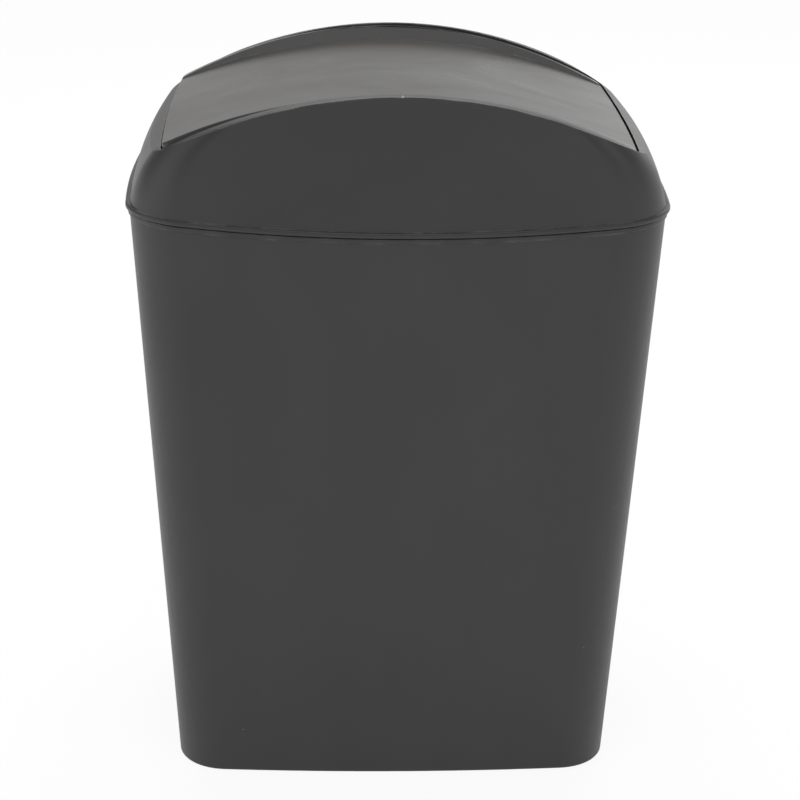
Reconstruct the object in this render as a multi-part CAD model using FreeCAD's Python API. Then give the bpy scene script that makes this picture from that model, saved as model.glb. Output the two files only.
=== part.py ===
import FreeCAD, Part
import math
import os

# Swing-top kitchen bin: a tapered body, a hood that sits on its rim, and a flap that swings in the hood.
# Millimetres, +Z up, origin in the middle of the base, front towards -Y.

# Rim: where the hood's seating flange and the body meet
HOOD_WIDTH = 270.0
HOOD_DEPTH = 200.0
RIM_HEIGHT = 298.4
RIM_RISE = 5.0
RIM_FRONT_BOW = 610.0
RIM_SIDE_BOW = 850.0
RIM_CORNER = 33.0
SEAT_CLEARANCE = 0.3

# Body
BASE_WIDTH = 229.0
BASE_DEPTH = 156.5
BASE_FRONT_BOW = 1330.0
BASE_SIDE_BOW = 1180.0
BASE_CORNER = 26.0
BASE_EDGE_ROUND = 1.6
BODY_WALL = 2.0
BASE_THICKNESS = 2.4
BEAD_REACH = 0.6
BEAD_HEIGHT = 2.4
BEAD_ROUND = 0.5

# Hood walls and roof
FLANGE_OVERHANG = 1.9
FLANGE_STEP = 0.9
FLANGE_HEIGHT = 2.8
FLANGE_ROUND = 1.0
HOOD_WALL = 2.0
HOOD_ROOF = 2.5
CROWN_RISE = 67.6
ROOF_RADIUS = 234.0
HOOD_SIDE_LEAN = 10.0
SHOULDER_RISE = 33.0
SHOULDER_DRAW = 5.5
HOOD_FRONT_LEAN = 3.5
HOOD_TOP_BOW = 1400.0
HOOD_TOP_CORNER = 18.0
HOOD_LEVELS = 12
ARCH_BEVEL_DEPTH = 2.0
ARCH_BEVEL_DROP = 0.5

# Skirt that centres the hood inside the body's mouth
SKIRT_DEPTH = 10.0
SKIRT_WALL = 1.8
SKIRT_CLEARANCE = 0.5

# Opening in the roof
ARCH_LIP = 4.2
SHOULDER_INSET = 19.0
OPENING_FRONT_BOW = 600.0
OPENING_END_BOW = 1300.0
OPENING_CORNER = 4.0

# Swing flap
FLAP_GAP = 0.8
FLAP_DROP = 0.9
FLAP_PROUD = 0.9
PANEL_DROP = 7.2
UPSTAND_WALL = 2.6
UPSTAND_FOOT = 4.0
UPSTAND_SLOPE = 5.6
FLAP_WALL = 2.2
FLAP_SKIRT = 8.0
FLAP_EDGE_ROUND = 1.4
FLAP_END_DRAFT = 12.0
FLAP_REST_TILT = 0.6
RIB_WALL = 1.6
RIB_DEPTH = 6.0
RIB_OFFSET = 45.0

# Pivot: stubs on the flap snap up into open sockets under the crown of the hood
PIVOT_DROP = 10.5
STUB_RADIUS = 3.0
STUB_CLEARANCE = 0.1
STUB_END_PLAY = 0.6
SOCKET_WALL = 2.3
SOCKET_MOUTH = 5.2
EAR_MARGIN = 3.5

# Sizes that follow from the ones above
RIM_HALF_WIDTH = HOOD_WIDTH / 2
RIM_HALF_DEPTH = HOOD_DEPTH / 2
RIM_TOP = RIM_HEIGHT + RIM_RISE
CROWN = RIM_HEIGHT + CROWN_RISE
PIVOT_HEIGHT = CROWN - PIVOT_DROP
OPENING_HALF_WIDTH = RIM_HALF_WIDTH - SHOULDER_INSET
FLAP_HALF_WIDTH = OPENING_HALF_WIDTH - FLAP_GAP
SPAN = RIM_HALF_WIDTH + 15.0
UNDERSIDE = -20.0
HEADROOM = 6.0
TOUCH = 0.01


def point(x, y, z):
    return FreeCAD.Vector(x, y, z)


def mix(low, high, share):
    return low + (high - low) * share


def mix_bow(low, high, share):
    """Bow radii blend by curvature, so a flatter end stays flat."""
    return 1.0 / mix(1.0 / low, 1.0 / high, share)


def outline(half_width, half_depth, front_bow, side_bow, corner, z):
    """Level wire of eight tangent arcs: bowed front, back and sides with rounded corners."""
    front_centre = half_depth - front_bow
    side_centre = half_width - side_bow
    to_front = front_bow - corner
    to_side = side_bow - corner
    apart = math.hypot(side_centre, front_centre)
    along = (to_front**2 - to_side**2 + apart**2) / (2 * apart)
    across = math.sqrt(to_front**2 - along**2)
    ux = side_centre / apart
    uy = -front_centre / apart
    corner_x = ux * along - uy * across
    corner_y = front_centre + uy * along + ux * across
    if corner_x < 0:
        corner_x = ux * along + uy * across
        corner_y = front_centre + uy * along - ux * across
    centre = point(corner_x, corner_y, z)
    front_end = point(corner_x, corner_y - front_centre, 0) * (front_bow / to_front) + point(0, front_centre, z)
    side_end = point(corner_x - side_centre, corner_y, 0) * (side_bow / to_side) + point(side_centre, 0, z)
    corner_mid = centre + ((front_end + side_end) * 0.5 - centre).normalize() * corner

    def turned(p, sign_x, sign_y):
        return point(p.x * sign_x, p.y * sign_y, z)

    edges = []
    for sign_x, sign_y in ((1, 1), (-1, 1), (-1, -1), (1, -1)):
        ends = [turned(side_end, sign_x, sign_y), turned(front_end, sign_x, sign_y)]
        if sign_x * sign_y < 0:
            ends.reverse()
        edges.append(Part.Arc(ends[0], turned(corner_mid, sign_x, sign_y), ends[1]).toShape())
        if sign_x * sign_y > 0:
            middle = point(0, half_depth * sign_y, z)
            last = turned(front_end, -sign_x, sign_y)
        else:
            middle = point(half_width * sign_x, 0, z)
            last = turned(side_end, sign_x, -sign_y)
        edges.append(Part.Arc(ends[1], middle, last).toShape())
    return Part.Wire(edges)


def loft(wires):
    return Part.makeLoft(wires, True, True)


def arc_height(middle, end, half_span):
    """Height along a circular arc over X, level in Y, through its middle and its two ends."""
    rise = middle - end
    radius = (half_span**2 + rise**2) / (2 * abs(rise))
    sign = math.copysign(1.0, rise)
    return lambda x: middle - sign * (radius - math.sqrt(radius**2 - x**2))


def under(height, shift=0.0):
    """Block below an arc, wide and deep enough to hold the whole bin."""
    left = point(-SPAN, -SPAN, height(SPAN) + shift)
    top = point(0, -SPAN, height(0) + shift)
    right = point(SPAN, -SPAN, height(SPAN) + shift)
    foot_right = point(SPAN, -SPAN, UNDERSIDE)
    foot_left = point(-SPAN, -SPAN, UNDERSIDE)
    profile = Part.Wire([
        Part.Arc(left, top, right).toShape(),
        Part.makeLine(right, foot_right),
        Part.makeLine(foot_right, foot_left),
        Part.makeLine(foot_left, left),
    ])
    return Part.Face(profile).extrude(point(0, 2 * SPAN, 0))


def between(shape, height, low, high):
    """The slice of a shape that lies between two parallel arcs."""
    return shape.common(under(height, high)).cut(under(height, low))


def round_edges(solid, radii):
    """Fillet a solid; each entry is an edge number with its start and end radius."""
    sheet = FreeCAD.newDocument()
    base = sheet.addObject("Part::Feature", "base")
    base.Shape = solid
    rounded = sheet.addObject("Part::Fillet", "rounded")
    rounded.Base = base
    rounded.Edges = radii
    sheet.recompute()
    result = rounded.Shape.copy()
    FreeCAD.closeDocument(sheet.Name)
    return result.Solids[0]


def bevel_edges(solid, numbered, arc_size, wall_size):
    """Bevel the ring of edges round an arc's surface, with one size on the arc and one on the wall."""
    first = numbered[0][1]
    owner = next(face for face in solid.Faces if any(edge.isSame(first) for edge in face.Edges))
    sizes = (wall_size, arc_size)
    if len(owner.Edges) == len(numbered):
        sizes = (arc_size, wall_size)
    sheet = FreeCAD.newDocument()
    base = sheet.addObject("Part::Feature", "base")
    base.Shape = solid
    bevelled = sheet.addObject("Part::Chamfer", "bevelled")
    bevelled.Base = base
    bevelled.Edges = [(number, *sizes) for number, edge in numbered]
    sheet.recompute()
    result = bevelled.Shape.copy()
    FreeCAD.closeDocument(sheet.Name)
    return result.Solids[0]


def edges_on(solid, height, shift=0.0):
    """Number and edge of every edge that lies in an arc's surface."""
    found = []
    for number, edge in enumerate(solid.Edges, start=1):
        samples = edge.discretize(7)
        if all(abs(p.z - height(p.x) - shift) < TOUCH for p in samples):
            found.append((number, edge))
    return found


def box(x0, x1, y0, y1, z0, z1):
    return Part.makeBox(x1 - x0, y1 - y0, z1 - z0, point(x0, y0, z0))


rim = arc_height(RIM_HEIGHT, RIM_TOP, RIM_HALF_WIDTH)


def roof(x):
    """Height of the roof arc over X."""
    return CROWN - ROOF_RADIUS + math.sqrt(ROOF_RADIUS**2 - x**2)


flap_top = arc_height(CROWN - FLAP_DROP, roof(OPENING_HALF_WIDTH) + FLAP_PROUD, OPENING_HALF_WIDTH)
panel_top = arc_height(CROWN - PANEL_DROP, roof(OPENING_HALF_WIDTH) + FLAP_PROUD, OPENING_HALF_WIDTH)


def body_outline(z, inset=0.0):
    """Body wall at a height: base and rim outlines blended, moved in by an inset."""
    share = z / RIM_TOP
    half_width = mix(BASE_WIDTH / 2, RIM_HALF_WIDTH - FLANGE_OVERHANG, share) - inset
    half_depth = mix(BASE_DEPTH / 2, RIM_HALF_DEPTH - FLANGE_OVERHANG, share) - inset
    front_bow = mix_bow(BASE_FRONT_BOW, RIM_FRONT_BOW, share) - inset
    side_bow = mix_bow(BASE_SIDE_BOW, RIM_SIDE_BOW, share) - inset
    corner = mix(BASE_CORNER, RIM_CORNER, share) - inset
    return outline(half_width, half_depth, front_bow, side_bow, corner, z)


def rim_prism(outset):
    """Upright block with the body's rim outline, moved out by an outset."""
    wire = body_outline(RIM_TOP, -outset)
    low = RIM_HEIGHT - 2 * SKIRT_DEPTH
    wire.translate(point(0, 0, low - RIM_TOP))
    return Part.Face(wire).extrude(point(0, 0, CROWN - low))


def make_body():
    """Tapered bucket with a rounded base edge and a thin bead round its rim."""
    wall = loft([body_outline(0.0), body_outline(RIM_TOP)])
    base_edges = []
    for number, edge in enumerate(wall.Edges, start=1):
        if edge.BoundBox.ZMax < TOUCH:
            base_edges.append((number, BASE_EDGE_ROUND, BASE_EDGE_ROUND))
    wall = round_edges(wall, base_edges)
    bead = between(rim_prism(BEAD_REACH), rim, -BEAD_HEIGHT, 0.0).Solids[0]
    bead_edges = edges_on(bead, rim) + edges_on(bead, rim, -BEAD_HEIGHT)
    bead = round_edges(bead, [(number, BEAD_ROUND, BEAD_ROUND) for number, edge in bead_edges])
    cavity = loft([body_outline(BASE_THICKNESS, BODY_WALL), body_outline(RIM_TOP, BODY_WALL)])
    floor_edges = []
    for number, edge in enumerate(cavity.Edges, start=1):
        if edge.BoundBox.ZMax < BASE_THICKNESS + TOUCH:
            floor_edges.append((number, BASE_EDGE_ROUND, BASE_EDGE_ROUND))
    cavity = round_edges(cavity, floor_edges)
    return wall.common(under(rim)).fuse(bead).cut(cavity).removeSplitter().Solids[0]


def hood_outline(rise, inset):
    """Hood wall at a rise over the rim: it leans in all round, and the ends draw in more and more."""
    share = rise / CROWN_RISE
    half_width = RIM_HALF_WIDTH - FLANGE_STEP - rise * math.tan(math.radians(HOOD_SIDE_LEAN))
    half_width -= SHOULDER_DRAW * (rise / SHOULDER_RISE) ** 3
    half_depth = RIM_HALF_DEPTH - FLANGE_STEP - rise * math.tan(math.radians(HOOD_FRONT_LEAN))
    front_bow = mix_bow(RIM_FRONT_BOW, HOOD_TOP_BOW, share) - inset
    corner = mix(RIM_CORNER, HOOD_TOP_CORNER, share) - inset
    z = RIM_HEIGHT + rise
    return outline(half_width - inset, half_depth - inset, front_bow, RIM_SIDE_BOW - inset, corner, z)


def hood_block(inset):
    """Solid hood without its bevel: leaning walls under the roof arc."""
    top = CROWN_RISE + HEADROOM
    wires = [hood_outline(top * level / HOOD_LEVELS, inset) for level in range(HOOD_LEVELS + 1)]
    return Part.makeLoft(wires, True, False).common(under(roof)).Solids[0]


def opening_half_depth():
    """From the middle to the arch lip at the crown."""
    front_lean = math.tan(math.radians(HOOD_FRONT_LEAN))
    return RIM_HALF_DEPTH - FLANGE_STEP - CROWN_RISE * front_lean - ARCH_LIP


def opening_outline(z, inset=0.0, widen=0.0):
    """Opening in the roof; the flap uses it too, moved in by its gap."""
    return outline(
        OPENING_HALF_WIDTH - inset + widen,
        opening_half_depth() - inset,
        OPENING_FRONT_BOW - inset,
        OPENING_END_BOW - inset,
        OPENING_CORNER + inset,
        z,
    )


def make_foot():
    """Seating flange and centring skirt at the bottom of the hood."""
    flange = between(rim_prism(FLANGE_OVERHANG), rim, SEAT_CLEARANCE, SEAT_CLEARANCE + FLANGE_HEIGHT).Solids[0]
    flange_edges = edges_on(flange, rim, SEAT_CLEARANCE)
    flange_edges += edges_on(flange, rim, SEAT_CLEARANCE + FLANGE_HEIGHT)
    flange = round_edges(flange, [(number, FLANGE_ROUND, FLANGE_ROUND) for number, edge in flange_edges])
    low = RIM_HEIGHT - 2 * SKIRT_DEPTH
    high = RIM_TOP + SEAT_CLEARANCE + FLANGE_HEIGHT
    outside = BODY_WALL + SKIRT_CLEARANCE
    skirt = loft([body_outline(low, outside), body_outline(high, outside)])
    skirt = between(skirt, rim, -SKIRT_DEPTH, SEAT_CLEARANCE + FLANGE_HEIGHT / 2)
    inside = outside + SKIRT_WALL
    hollow = loft([body_outline(low, inside), body_outline(high + FLANGE_HEIGHT, inside)])
    return flange.fuse(skirt).cut(hollow)


def along_y(radius, y0, y1):
    """Round bar on the pivot line between two depths."""
    return Part.makeCylinder(radius, y1 - y0, point(0, y0, PIVOT_HEIGHT), point(0, 1, 0))


def make_socket():
    """Snap socket inside the back wall: a bored boss with its mouth open at the bottom."""
    bore = STUB_RADIUS + STUB_CLEARANCE
    front = opening_half_depth() - FLAP_GAP + STUB_END_PLAY
    boss = along_y(bore + SOCKET_WALL, front, RIM_HALF_DEPTH)
    mouth = box(-SOCKET_MOUTH / 2, SOCKET_MOUTH / 2, front, RIM_HALF_DEPTH, RIM_HEIGHT, PIVOT_HEIGHT)
    return boss, along_y(bore, front, RIM_HALF_DEPTH).fuse(mouth)


def make_hood():
    """Shell of walls and shoulders round the flap opening, on its flange, with two pivot sockets."""
    outer = hood_block(0.0)
    outer = bevel_edges(outer, edges_on(outer, roof), ARCH_BEVEL_DEPTH, ARCH_BEVEL_DROP)
    inner = hood_block(HOOD_WALL)
    inner.translate(point(0, 0, -HOOD_ROOF))
    inside_wall = hood_block(HOOD_WALL / 2)
    inside_wall.translate(point(0, 0, -HOOD_ROOF))
    opening = Part.Face(opening_outline(RIM_HEIGHT)).extrude(point(0, 0, 2 * CROWN_RISE))
    shell = outer.cut(inner).cut(opening).cut(under(rim, SEAT_CLEARANCE + FLANGE_HEIGHT / 2))
    boss, bore = make_socket()
    socket = boss.common(inside_wall).cut(bore.common(inner))
    front_socket = socket.mirror(point(0, 0, 0), point(0, 1, 0))
    return shell.fuse([make_foot(), socket, front_socket]).removeSplitter().Solids[0]


def flap_loft(inset):
    """Upright block of the flap's outline whose ends draw in towards the bottom to clear the swing."""
    draft = math.tan(math.radians(FLAP_END_DRAFT))
    end_top = flap_top(FLAP_HALF_WIDTH)
    wires = []
    for z in (end_top - 2 * FLAP_SKIRT, CROWN + HEADROOM):
        wires.append(opening_outline(z, FLAP_GAP + inset, (z - end_top) * draft))
    return loft(wires)


def make_recess():
    """Tool that sinks the panel between the front and back upstands and runs out over the ends."""
    wires = [opening_outline(z, FLAP_GAP + UPSTAND_WALL, SHOULDER_INSET) for z in (RIM_HEIGHT, CROWN + HEADROOM)]
    tool = loft(wires).cut(under(panel_top)).Solids[0]
    return bevel_edges(tool, edges_on(tool, panel_top), UPSTAND_FOOT, UPSTAND_SLOPE)


def make_flap():
    """Arched panel sunk between two upstands, with a skirt, ribs, and a pivot stub at front and back."""
    panel = flap_loft(0.0).common(under(flap_top)).Solids[0]
    top_edges = edges_on(panel, flap_top)
    panel = round_edges(panel, [(number, FLAP_EDGE_ROUND, FLAP_EDGE_ROUND) for number, edge in top_edges])
    panel = panel.cut(make_recess())
    hollow = flap_loft(FLAP_WALL).common(under(panel_top, -FLAP_WALL))
    panel = panel.cut(hollow).cut(under(panel_top, -FLAP_SKIRT))
    half_depth = opening_half_depth() - FLAP_GAP
    web = box(-RIB_WALL / 2, RIB_WALL / 2, -half_depth, half_depth, RIM_HEIGHT, CROWN)
    for side in (-1, 1):
        middle = side * RIB_OFFSET
        web = web.fuse(box(-SPAN, SPAN, middle - RIB_WALL / 2, middle + RIB_WALL / 2, RIM_HEIGHT, CROWN))
    web = between(web.common(flap_loft(FLAP_WALL / 2)), panel_top, -RIB_DEPTH, -FLAP_WALL / 2)
    ear = along_y(STUB_RADIUS + EAR_MARGIN, half_depth - FLAP_WALL, half_depth)
    ear = ear.common(under(flap_top, -FLAP_EDGE_ROUND))
    stub = along_y(STUB_RADIUS, half_depth - FLAP_WALL, half_depth + stub_length())
    front_ear = ear.fuse(stub).mirror(point(0, 0, 0), point(0, 1, 0))
    flap = panel.fuse([web, ear, stub, front_ear]).removeSplitter().Solids[0]
    flap.rotate(point(0, 0, PIVOT_HEIGHT), point(0, 1, 0), FLAP_REST_TILT)
    return flap


def stub_length():
    """From the flap's edge to just short of the hood's inner wall at the pivot's height."""
    front_lean = math.tan(math.radians(HOOD_FRONT_LEAN))
    rise = PIVOT_HEIGHT - RIM_HEIGHT
    wall = RIM_HALF_DEPTH - FLANGE_STEP - rise * front_lean - HOOD_WALL
    return wall - STUB_END_PLAY - (opening_half_depth() - FLAP_GAP)


os.makedirs("parts", exist_ok=True)
pieces = {"bin_body": make_body(), "hood": make_hood(), "swing_flap": make_flap()}
for name, shape in pieces.items():
    size = shape.BoundBox
    print(name, "valid" if shape.isValid() else "NOT valid", "volume", round(shape.Volume / 1000, 1), "ml")
    print("  from", round(size.XMin, 1), round(size.YMin, 1), round(size.ZMin, 1))
    print("  to", round(size.XMax, 1), round(size.YMax, 1), round(size.ZMax, 1))
    shape.exportStep("parts/" + name + ".step")
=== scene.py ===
# %% [markdown]
# # A swing-top bin in dark grey plastic
# The bin is three mouldings: a tapered body, an arched hood and a flap that swings in the hood.
# The solids are loaded first as a fixed frame, in metres, so every finish and every small piece
# that follows goes where the real part is.

# %% load the frame
import math

import bmesh
import bpy
from mathutils import Matrix, Vector


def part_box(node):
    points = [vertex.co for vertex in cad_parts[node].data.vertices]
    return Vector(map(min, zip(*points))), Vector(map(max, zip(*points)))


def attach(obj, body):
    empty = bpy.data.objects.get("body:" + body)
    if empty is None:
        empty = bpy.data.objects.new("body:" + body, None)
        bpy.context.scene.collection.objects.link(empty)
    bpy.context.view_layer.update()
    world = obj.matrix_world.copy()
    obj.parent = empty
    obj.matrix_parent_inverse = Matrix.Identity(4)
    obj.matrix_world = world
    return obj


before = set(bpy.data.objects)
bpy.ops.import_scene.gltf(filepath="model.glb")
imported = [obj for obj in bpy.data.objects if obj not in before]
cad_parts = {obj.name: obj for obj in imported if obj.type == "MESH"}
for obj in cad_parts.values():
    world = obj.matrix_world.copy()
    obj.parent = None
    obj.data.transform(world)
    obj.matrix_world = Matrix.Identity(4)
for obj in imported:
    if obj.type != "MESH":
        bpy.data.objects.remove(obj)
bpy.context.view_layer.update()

# %% [markdown]
# ## Two helpers for every finish
# Colours are written as sRGB hex, the way a paint chip or a picture gives them, while the shader
# wants linear light, so one function converts. A second one adds a shader node with its settings
# and its links in one call, which keeps each finish readable from top to bottom. Sockets go by
# name, and by number where a node has several of one name: a colour mix takes its share at in0,
# its two colours at in6 and in7, and gives the result at output 2.

# %% helpers
MM = 0.001


def linear(code):
    """sRGB hex to linear RGBA."""
    channels = [int(code[i:i + 2], 16) / 255 for i in (1, 3, 5)]
    return [c / 12.92 if c <= 0.04045 else ((c + 0.055) / 1.055) ** 2.4 for c in channels] + [1.0]


def add(tree, kind, settings=None, **sockets):
    """Add a node: settings are its properties, sockets its values or links, with _ for spaces."""
    node = tree.nodes.new(kind)
    for key, value in (settings or {}).items():
        setattr(node, key, value)
    for key, value in sockets.items():
        numbered = key.startswith("in") and key[2:].isdigit()
        socket = node.inputs[int(key[2:]) if numbered else key.replace("_", " ")]
        if isinstance(value, bpy.types.NodeSocket):
            tree.links.new(value, socket)
        else:
            socket.default_value = value
    return node


print("white in linear light", linear("#ffffff"))

# %% [markdown]
# ## Colour that cooled unevenly
# The bin is injection moulded in dark polypropylene. Where the melt cooled a little faster or
# slower its grey drifts, in soft clouds drawn out along the way it flowed. An image could carry
# that, but noise has no seams and keeps its real width on every moulding.

# %% cooling clouds
CLOUD = 38 * MM            # width of a cloud
CLOUD_SPAN = (0.3, 0.75)   # noise levels at which a cloud starts and is full


def cooled_colour(tree, along, dark, pale):
    """Clouds of two close greys."""
    clouds = add(tree, "ShaderNodeTexNoise", Vector=along, Scale=1 / CLOUD, Detail=3.0, Roughness=0.55)
    tint = add(tree, "ShaderNodeValToRGB", Fac=clouds.outputs["Fac"])
    for stop, position, code in zip(tint.color_ramp.elements, CLOUD_SPAN, (dark, pale)):
        stop.position = position
        stop.color = linear(code)
    return tint.outputs["Color"]


print("clouds", round(CLOUD / MM), "mm wide")

# %% [markdown]
# ## Dust
# In use a thin warm film settles on what faces up, and wiping leaves it in streaks. The upward
# part of the normal says where it can lie, and the wiping noise says where it was left. Stray
# specks cling anywhere: each Voronoi cell has a centre to put one on, and only a few cells do.

# %% dust film and specks
FILM_COLOUR = "#77736e"
FILM_SHARE = 0.07            # share of the colour that the film takes on a level face
FILM_SLOPE = (0.6, 0.95)     # upward part of the normal at which it starts to lie and is full
FILM_LEFT = (0.4, 0.7)       # noise levels from wiped clean to left alone
SPECK_COLOUR = "#8a8a88"
SPECK_SHARE = 0.35
SPECK_SPACING = 11 * MM
SPECK_RIM = 0.605 * MM       # a speck fades out at this distance from its centre
SPECK_CORE = 0.33 * MM       # and is full inside this one
SPECK_CHANCE = 0.9           # cells whose grey is above this hold a speck


def dusted(tree, below, place, wipes, normal):
    """The film and the specks, over the colour below."""
    upward = add(tree, "ShaderNodeSeparateXYZ", Vector=normal).outputs["Z"]
    lying = add(tree, "ShaderNodeMapRange", Value=upward, From_Min=FILM_SLOPE[0],
                From_Max=FILM_SLOPE[1], To_Max=FILM_SHARE)
    left = add(tree, "ShaderNodeMapRange", Value=wipes, From_Min=FILM_LEFT[0], From_Max=FILM_LEFT[1])
    film = add(tree, "ShaderNodeMath", {"operation": "MULTIPLY"}, in0=lying.outputs[0], in1=left.outputs[0])
    filmed = add(tree, "ShaderNodeMix", {"data_type": "RGBA"}, in0=film.outputs[0], in6=below,
                 in7=linear(FILM_COLOUR))
    cells = add(tree, "ShaderNodeTexVoronoi", Vector=place, Scale=1 / SPECK_SPACING)
    near = add(tree, "ShaderNodeMapRange", Value=cells.outputs["Distance"],
               From_Min=SPECK_RIM / SPECK_SPACING, From_Max=SPECK_CORE / SPECK_SPACING, To_Max=SPECK_SHARE)
    few = add(tree, "ShaderNodeMath", {"operation": "GREATER_THAN"}, in0=cells.outputs["Color"],
              in1=SPECK_CHANCE)
    speck = add(tree, "ShaderNodeMath", {"operation": "MULTIPLY"}, in0=near.outputs[0], in1=few.outputs[0])
    specked = add(tree, "ShaderNodeMix", {"data_type": "RGBA"}, in0=speck.outputs[0],
                  in6=filmed.outputs[2], in7=linear(SPECK_COLOUR))
    return specked.outputs[2]


print("specks up to", round(2 * SPECK_RIM / MM, 2), "mm across")

# %% [markdown]
# ## Rubbed edges and painted edge highlights
# Handling rubs the corners of a moulding pale, here and there and never evenly, and the same pale
# colour is also a painted highlight where the rounded edges would catch the light. A Bevel node gives
# the normal that the surface would have with its edges eased, so wherever that differs from the
# real normal there is an edge. A noise then picks the stretches that are painted pale.

# %% edge rub and painted edge highlight
EDGE_WIDTH = 1.6 * MM
EDGE_TURN = (0.985, 0.9)     # cosine between the two normals at which a rub starts and is full
NICK_SPACING = 16 * MM
NICK_SPAN = (0.45, 0.65)     # noise levels from untouched to rubbed
RUB_AND_HIGHLIGHT_SHARE = 0.25
# pale edge colour: partly real rub, partly a painted highlight along the rounded edges
RUB_AND_HIGHLIGHT_COLOUR = "#a8a8a4"


def rub_and_painted_highlight(tree, below, place, normal):
    """Pale stretches along the edges, partly rubbed wear and partly painted highlight, over the colour below.
    """
    eased = add(tree, "ShaderNodeBevel", {"samples": 8}, Radius=EDGE_WIDTH)
    turned = add(tree, "ShaderNodeVectorMath", {"operation": "DOT_PRODUCT"}, in0=eased.outputs[0], in1=normal)
    edge = add(tree, "ShaderNodeMapRange", Value=turned.outputs["Value"], From_Min=EDGE_TURN[0],
               From_Max=EDGE_TURN[1])
    nicks = add(tree, "ShaderNodeTexNoise", Vector=place, Scale=1 / NICK_SPACING, Detail=4.0, Roughness=0.7)
    touched = add(tree, "ShaderNodeMapRange", Value=nicks.outputs["Fac"], From_Min=NICK_SPAN[0],
                  From_Max=NICK_SPAN[1], To_Max=RUB_AND_HIGHLIGHT_SHARE)
    # where the edges are painted pale: rubbed wear and a painted highlight
    rub_and_highlight_mask = add(tree, "ShaderNodeMath", {"operation": "MULTIPLY"}, in0=edge.outputs[0], in1=touched.outputs[0])
    rubbed_and_highlit = add(tree, "ShaderNodeMix", {"data_type": "RGBA"}, in0=rub_and_highlight_mask.outputs[0], in6=below,
                  in7=linear(RUB_AND_HIGHLIGHT_COLOUR))
    return rubbed_and_highlit.outputs[2]


print("rub", round(EDGE_WIDTH / MM, 1), "mm wide")

# %% [markdown]
# ## Polypropylene from a spark-eroded mould
# The mould is spark-eroded, so the skin comes out satin rather than glossy. The eye sees a dark
# even grey, a mirror sheen that grows strong at a low angle, and a very fine grain. Polypropylene
# has an IOR of 1.49 and no metal in it. Wiping polishes some streaks and dulls others, so the
# same noise that leaves the dust also moves the roughness. Seen edge-on the dust shows most, and
# the shader's own sheen lobe, tinted warm, gives that.

# %% the moulded skin
GRAIN = 0.9 * MM             # real grit is nearer 0.1 mm, drawn coarser so that it shows from a metre away
GRAIN_DEPTH = 0.04 * MM
GRAIN_STRENGTH = 0.25
WIPE = 55 * MM               # length of a wiped streak
WIPE_SPAN = (0.3, 0.7)       # noise levels from polished to dull
PLASTIC_IOR = 1.49
DUST_TINT = "#ffe9d2"
DUST_ROUGHNESS = 0.4


def moulded_skin(name, dark, pale, roughness, wear, flow, dust=0.0):
    """Satin polypropylene; wear is how far the roughness swings, flow stretches the clouds and wipes."""
    skin = bpy.data.materials.new(name)
    skin.use_nodes = True
    tree = skin.node_tree
    tree.nodes.clear()
    place = add(tree, "ShaderNodeTexCoord").outputs["Object"]
    along = add(tree, "ShaderNodeMapping", Vector=place, Scale=flow).outputs["Vector"]
    normal = add(tree, "ShaderNodeNewGeometry").outputs["Normal"]
    wipes = add(tree, "ShaderNodeTexNoise", Vector=along, Scale=1 / WIPE, Detail=5.0, Roughness=0.65,
                Distortion=0.6).outputs["Fac"]
    colour = cooled_colour(tree, along, dark, pale)
    colour = dusted(tree, colour, place, wipes, normal)
    # pale edges: rubbed wear and a painted edge highlight
    colour = rub_and_painted_highlight(tree, colour, place, normal)
    polish = add(tree, "ShaderNodeMapRange", Value=wipes, From_Min=WIPE_SPAN[0], From_Max=WIPE_SPAN[1],
                 To_Min=roughness - wear, To_Max=roughness + wear)
    grain = add(tree, "ShaderNodeTexNoise", Vector=place, Scale=1 / GRAIN, Detail=2.0)
    bump = add(tree, "ShaderNodeBump", Height=grain.outputs["Fac"], Strength=GRAIN_STRENGTH,
               Distance=GRAIN_DEPTH)
    shader = add(tree, "ShaderNodeBsdfPrincipled", Base_Color=colour, Roughness=polish.outputs[0],
                 Normal=bump.outputs[0], IOR=PLASTIC_IOR, Sheen_Weight=dust,
                 Sheen_Roughness=DUST_ROUGHNESS, Sheen_Tint=linear(DUST_TINT))
    add(tree, "ShaderNodeOutputMaterial", Surface=shader.outputs[0])
    return skin


print("grain", round(GRAIN / MM, 1), "mm, IOR", PLASTIC_IOR)

# %% [markdown]
# ## Dressing the three mouldings
# All three come from one grey. The body's melt ran up its walls, the hood's and the flap's ran
# across. The flap is pushed by hand all day, so it is the most polished, the least evenly, and
# it is the one that faces up and gathers dust.

# %% finishes
GREY = "#29292a"
PALE_GREY = "#2d2d2d"
UP_THE_WALLS = (1.0, 1.0, 0.4)
ACROSS = (0.6, 1.0, 1.0)

finishes = {
    "bin_body": moulded_skin("Polypropylene satin body", GREY, PALE_GREY, 0.42, 0.03, UP_THE_WALLS),
    "hood": moulded_skin("Polypropylene satin hood", GREY, PALE_GREY, 0.40, 0.03, ACROSS),
    "swing_flap": moulded_skin("Polypropylene satin flap", GREY, PALE_GREY, 0.32, 0.06, ACROSS, dust=0.05),
}
for node_name, finish in finishes.items():
    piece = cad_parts[node_name]
    piece.data.materials.clear()
    piece.data.materials.append(finish)
    print(node_name, "wears", finish.name, "on", len(piece.data.polygons), "faces")

# %% [markdown]
# ## The gate mark
# The plastic enters the hood's mould at the top of the front arch. When the runner is torn off it
# leaves a tiny pip with a ragged top. The pip is coloured a pale grey, much paler than the hood, and
# it is the light dot in the middle of the arch.
# It could be a dot of paint in the finish, but a real pip catches the light from every side, so
# it is a lathed profile, with its upper rings waved a little where the plastic tore.

# %% the pip
GATE_PROFILE = [(0.95, -0.10), (0.80, 0.06), (0.66, 0.18), (0.60, 0.34), (0.42, 0.42), (0.20, 0.36)]
GATE_SIDES = 20
TEAR_FROM = 3                # the first ring that is torn
TEAR_HEIGHT = 0.05
TEAR_WAVES = 3

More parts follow.
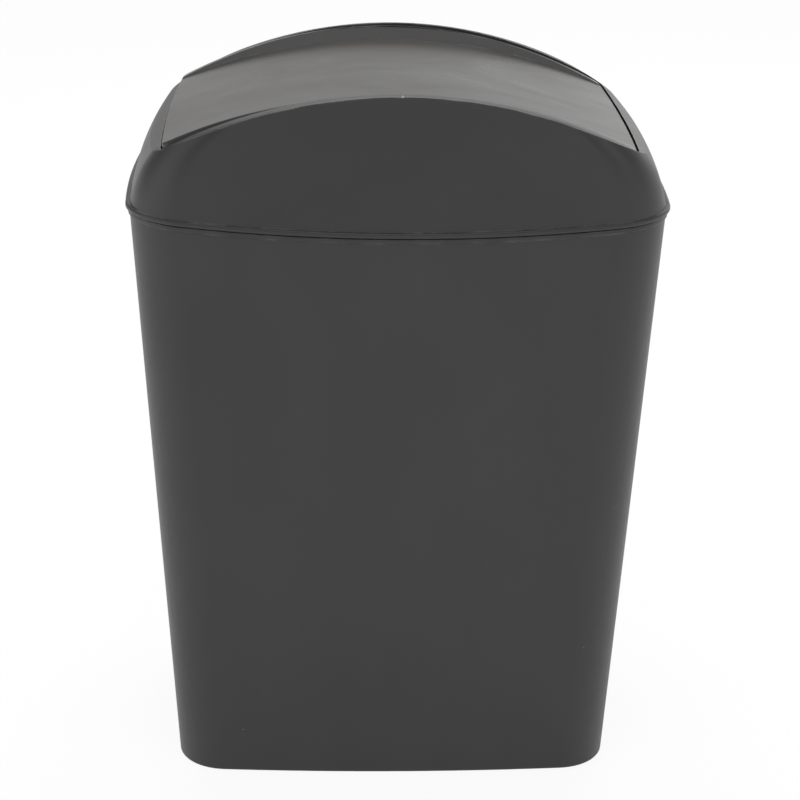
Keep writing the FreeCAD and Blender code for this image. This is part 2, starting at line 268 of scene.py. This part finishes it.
pip = bmesh.new()
rings = []
for ring, (radius, height) in enumerate(GATE_PROFILE):
    verts = []
    for side in range(GATE_SIDES):
        turn = 2 * math.pi * side / GATE_SIDES
        torn = TEAR_HEIGHT * math.sin(TEAR_WAVES * turn + ring) if ring >= TEAR_FROM else 0.0
        spot = Vector((radius * math.cos(turn), radius * math.sin(turn), height + torn))
        verts.append(pip.verts.new(spot * MM))
    rings.append(verts)
for lower, upper in zip(rings, rings[1:]):
    for side in range(GATE_SIDES):
        after = (side + 1) % GATE_SIDES
        pip.faces.new((lower[side], lower[after], upper[after], upper[side])).smooth = True
pip.faces.new(rings[-1])
pip.faces.new(rings[0][::-1])
pip_mesh = bpy.data.meshes.new("gate_mark")
pip.to_mesh(pip_mesh)
pip.free()
print("gate mark", len(pip_mesh.polygons), "faces")

# %% [markdown]
# The pip stands square on the bevel that runs along the arch, just behind the front of the hood
# and just under its crown, so its place is measured from the hood's own box.

# %% set the pip on the arch
GATE_SETBACK = 5.6 * MM      # behind the hood's front
GATE_DROP = 0.48 * MM        # under its crown
BEVEL_DROP = 0.5 * MM
BEVEL_DEPTH = 2.0 * MM

hood_low, hood_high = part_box("hood")
gate_place = Vector((0.0, hood_low.y + GATE_SETBACK, hood_high.z - GATE_DROP))
gate_tip = math.atan2(BEVEL_DROP, BEVEL_DEPTH)
gate = bpy.data.objects.new("gate_mark", pip_mesh)
gate.matrix_world = Matrix.Translation(gate_place) @ Matrix.Rotation(gate_tip, 4, "X")
bpy.context.scene.collection.objects.link(gate)
# the pip is coloured pale grey, much paler than the hood, so that it shows as a light dot
pale_pip_skin = moulded_skin("Polypropylene pale pip", "#7d7d7b", "#a3a3a0", 0.6, 0.05, (1.0, 1.0, 1.0))
pip_mesh.materials.append(pale_pip_skin)
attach(gate, "lid")
print("gate mark at", [round(c / MM, 2) for c in gate_place], "mm")

# %% [markdown]
# ## A white studio sweep
# The bin stands on a wide pale floor that fills the picture behind it and turns up at its far end.
# It turns up only a third of a metre, because the flap should mirror the lit air above it. The
# sheet is a strip of points along that curve, swept across.

# %% the sheet
SWEEP_HALF = 4.0
SWEEP_FRONT = -4.0
SWEEP_BACK = 2.6
SWEEP_ROUND = 0.3
SWEEP_TOP = 0.32
SWEEP_STEPS = 12

round_start = SWEEP_BACK - SWEEP_ROUND
profile = [(SWEEP_FRONT, 0.0), (round_start, 0.0)]
for step in range(1, SWEEP_STEPS + 1):
    turn = math.pi / 2 * step / SWEEP_STEPS
    profile.append((round_start + SWEEP_ROUND * math.sin(turn), SWEEP_ROUND * (1 - math.cos(turn))))
profile.append((SWEEP_BACK, SWEEP_TOP))
sheet = bmesh.new()
rows = [[sheet.verts.new((side * SWEEP_HALF, y, z)) for side in (-1, 1)] for y, z in profile]
for low, high in zip(rows, rows[1:]):
    sheet.faces.new((low[0], low[1], high[1], high[0])).smooth = True
sweep_mesh = bpy.data.meshes.new("studio_sweep")
sheet.to_mesh(sweep_mesh)
sheet.free()
sweep = bpy.data.objects.new("studio_sweep", sweep_mesh)
bpy.context.scene.collection.objects.link(sweep)
print("sweep", len(sweep_mesh.polygons), "faces")

# %% [markdown]
# Paper photographs as white only when it is lit harder than the bin should be. Here the lamps stay
# at a plain level and the paper is washed to white for the rays that come from the lens, and less
# so for the rays that the plastic mirrors. What is left unwashed keeps the shadow under the bin.

# %% white paper
FLOOR_WASH = 0.9             # how far the paper is washed to white for the lens
MIRROR_WASH = 0.6            # the same for what the plastic mirrors

paper = bpy.data.materials.new("Matt white paper")
paper.use_nodes = True
tree = paper.node_tree
tree.nodes.clear()
matt = add(tree, "ShaderNodeBsdfDiffuse", Color=linear("#f4f4f4"))
blown = add(tree, "ShaderNodeEmission", Color=linear("#ffffff"), Strength=1.0)
ray = add(tree, "ShaderNodeLightPath").outputs
direct = add(tree, "ShaderNodeMath", {"operation": "MULTIPLY"}, in0=ray["Is Camera Ray"], in1=FLOOR_WASH)
mirrored = add(tree, "ShaderNodeMath", {"operation": "MULTIPLY"}, in0=ray["Is Glossy Ray"], in1=MIRROR_WASH)
wash = add(tree, "ShaderNodeMath", {"operation": "MAXIMUM"}, in0=direct.outputs[0], in1=mirrored.outputs[0])
washed = add(tree, "ShaderNodeMixShader", Fac=wash.outputs[0], in1=matt.outputs[0], in2=blown.outputs[0])
add(tree, "ShaderNodeOutputMaterial", Surface=washed.outputs[0])
sweep_mesh.materials.append(paper)
print("paper washed", FLOOR_WASH, "for the lens,", MIRROR_WASH, "in mirrors")

# %% [markdown]
# ## Soft lamps
# Broad lamps give soft edges to every highlight. The strong one is overhead and behind, a second
# on top lights the upstands and the front, and four weak ones draw the corners of the body and
# the sides of the hood.

# %% lamps
LAMPS = {                    # place, target, width in metres, power in watts
    "overhead": ((0.0, 0.9, 2.2), (0.0, 0.0, 0.3), 1.8, 31.0),
    "front top": ((0.0, -1.2, 2.2), (0.0, 0.0, 0.3), 1.8, 14.0),
    "front low": ((0.0, -1.9, 0.3), (0.0, -0.1, 0.0), 1.2, 1.5),
    "back right": ((1.3, 1.6, 1.2), (0.1, 0.0, 0.35), 1.4, 5.0),
    "left": ((-1.8, -0.6, 0.5), (0.0, 0.0, 0.1), 1.8, 8.0),
    "front right": ((1.8, -1.2, 0.95), (0.0, 0.0, 0.3), 1.2, 4.5),
}
for name, (place, target, width, power) in LAMPS.items():
    lamp = bpy.data.lights.new(name, "AREA")
    lamp.size = width
    lamp.energy = power
    holder = bpy.data.objects.new(name, lamp)
    holder.location = place
    holder.rotation_euler = (Vector(target) - Vector(place)).to_track_quat("-Z", "Y").to_euler()
    bpy.context.scene.collection.objects.link(holder)
print("lamps", list(LAMPS))

# %% [markdown]
# ## The air around
# A dark satin skin is drawn by what it mirrors. The air is an even half white for soft light, and
# plain white to the lens. For mirrored rays it glows, most of all low down at the back and to the
# right, which gives the flap its sheen and makes its right end the brighter one.

# %% world
AIR = 0.5
GLOW_TOWARD = (0.5, 0.85, -1.2)   # direction of the brightest air, weighted by axis
GLOW_SPAN = (0.14, 0.72)          # how far a ray points that way where the glow starts and is full
GLOW_LOW = 0.25
GLOW_HIGH = 1.0

world = bpy.data.worlds.new("studio air")
bpy.context.scene.world = world
world.use_nodes = True
tree = world.node_tree
tree.nodes.clear()
ray = add(tree, "ShaderNodeLightPath").outputs
toward = add(tree, "ShaderNodeTexCoord").outputs["Generated"]
facing = add(tree, "ShaderNodeVectorMath", {"operation": "DOT_PRODUCT"}, in0=toward, in1=GLOW_TOWARD)
glow = add(tree, "ShaderNodeMapRange", Value=facing.outputs["Value"], From_Min=GLOW_SPAN[0],
           From_Max=GLOW_SPAN[1], To_Min=GLOW_LOW, To_Max=GLOW_HIGH)
air = add(tree, "ShaderNodeBackground", Color=linear("#ffffff"), Strength=AIR)
wall = add(tree, "ShaderNodeBackground", Color=linear("#ffffff"), Strength=glow.outputs[0])
white = add(tree, "ShaderNodeBackground", Color=linear("#ffffff"), Strength=1.0)
mirrored = add(tree, "ShaderNodeMixShader", Fac=ray["Is Glossy Ray"], in1=air.outputs[0], in2=wall.outputs[0])
seen = add(tree, "ShaderNodeMixShader", Fac=ray["Is Camera Ray"], in1=mirrored.outputs[0],
           in2=white.outputs[0])
add(tree, "ShaderNodeOutputWorld", Surface=seen.outputs[0])
bpy.context.scene.view_settings.view_transform = "Standard"
print("air", AIR, "and glow", GLOW_LOW, "to", GLOW_HIGH)

# %% [markdown]
# ## The camera
# The picture was taken from above the rim and slightly to the left, with a long lens. The place,
# the angles and the focal length were found by matching the outline of the bin, so they are
# written as measured: tilt is down, turn is about the upright, roll is about the line of sight.

# %% camera
CAMERA_PLACE = (-0.0335, -1.0672, 0.5772)
CAMERA_TILT = 0.3552
CAMERA_TURN = -0.0351
CAMERA_ROLL = 0.0139
FOCAL_PIXELS = 2133.0
IMAGE_WIDTH = 800
SENSOR_WIDTH = 36.0
CLIP_START = 0.05

right = Vector((math.cos(CAMERA_TURN), math.sin(CAMERA_TURN), 0))
ahead = Vector((-math.sin(CAMERA_TURN), math.cos(CAMERA_TURN), 0))
forward = ahead * math.cos(CAMERA_TILT) - Vector((0, 0, math.sin(CAMERA_TILT)))
upward = ahead * math.sin(CAMERA_TILT) + Vector((0, 0, math.cos(CAMERA_TILT)))
across = right * math.cos(CAMERA_ROLL) + upward * math.sin(CAMERA_ROLL)
upright = upward * math.cos(CAMERA_ROLL) - right * math.sin(CAMERA_ROLL)
lens = bpy.data.cameras.new("camera")
lens.sensor_width = SENSOR_WIDTH
lens.lens = FOCAL_PIXELS / IMAGE_WIDTH * SENSOR_WIDTH
lens.clip_start = CLIP_START
viewer = bpy.data.objects.new("camera", lens)
axes = Matrix((across, upright, -forward)).transposed()
viewer.matrix_world = Matrix.Translation(CAMERA_PLACE) @ axes.to_4x4()
bpy.context.scene.collection.objects.link(viewer)
bpy.context.scene.camera = viewer
print("lens", round(lens.lens, 1), "mm")
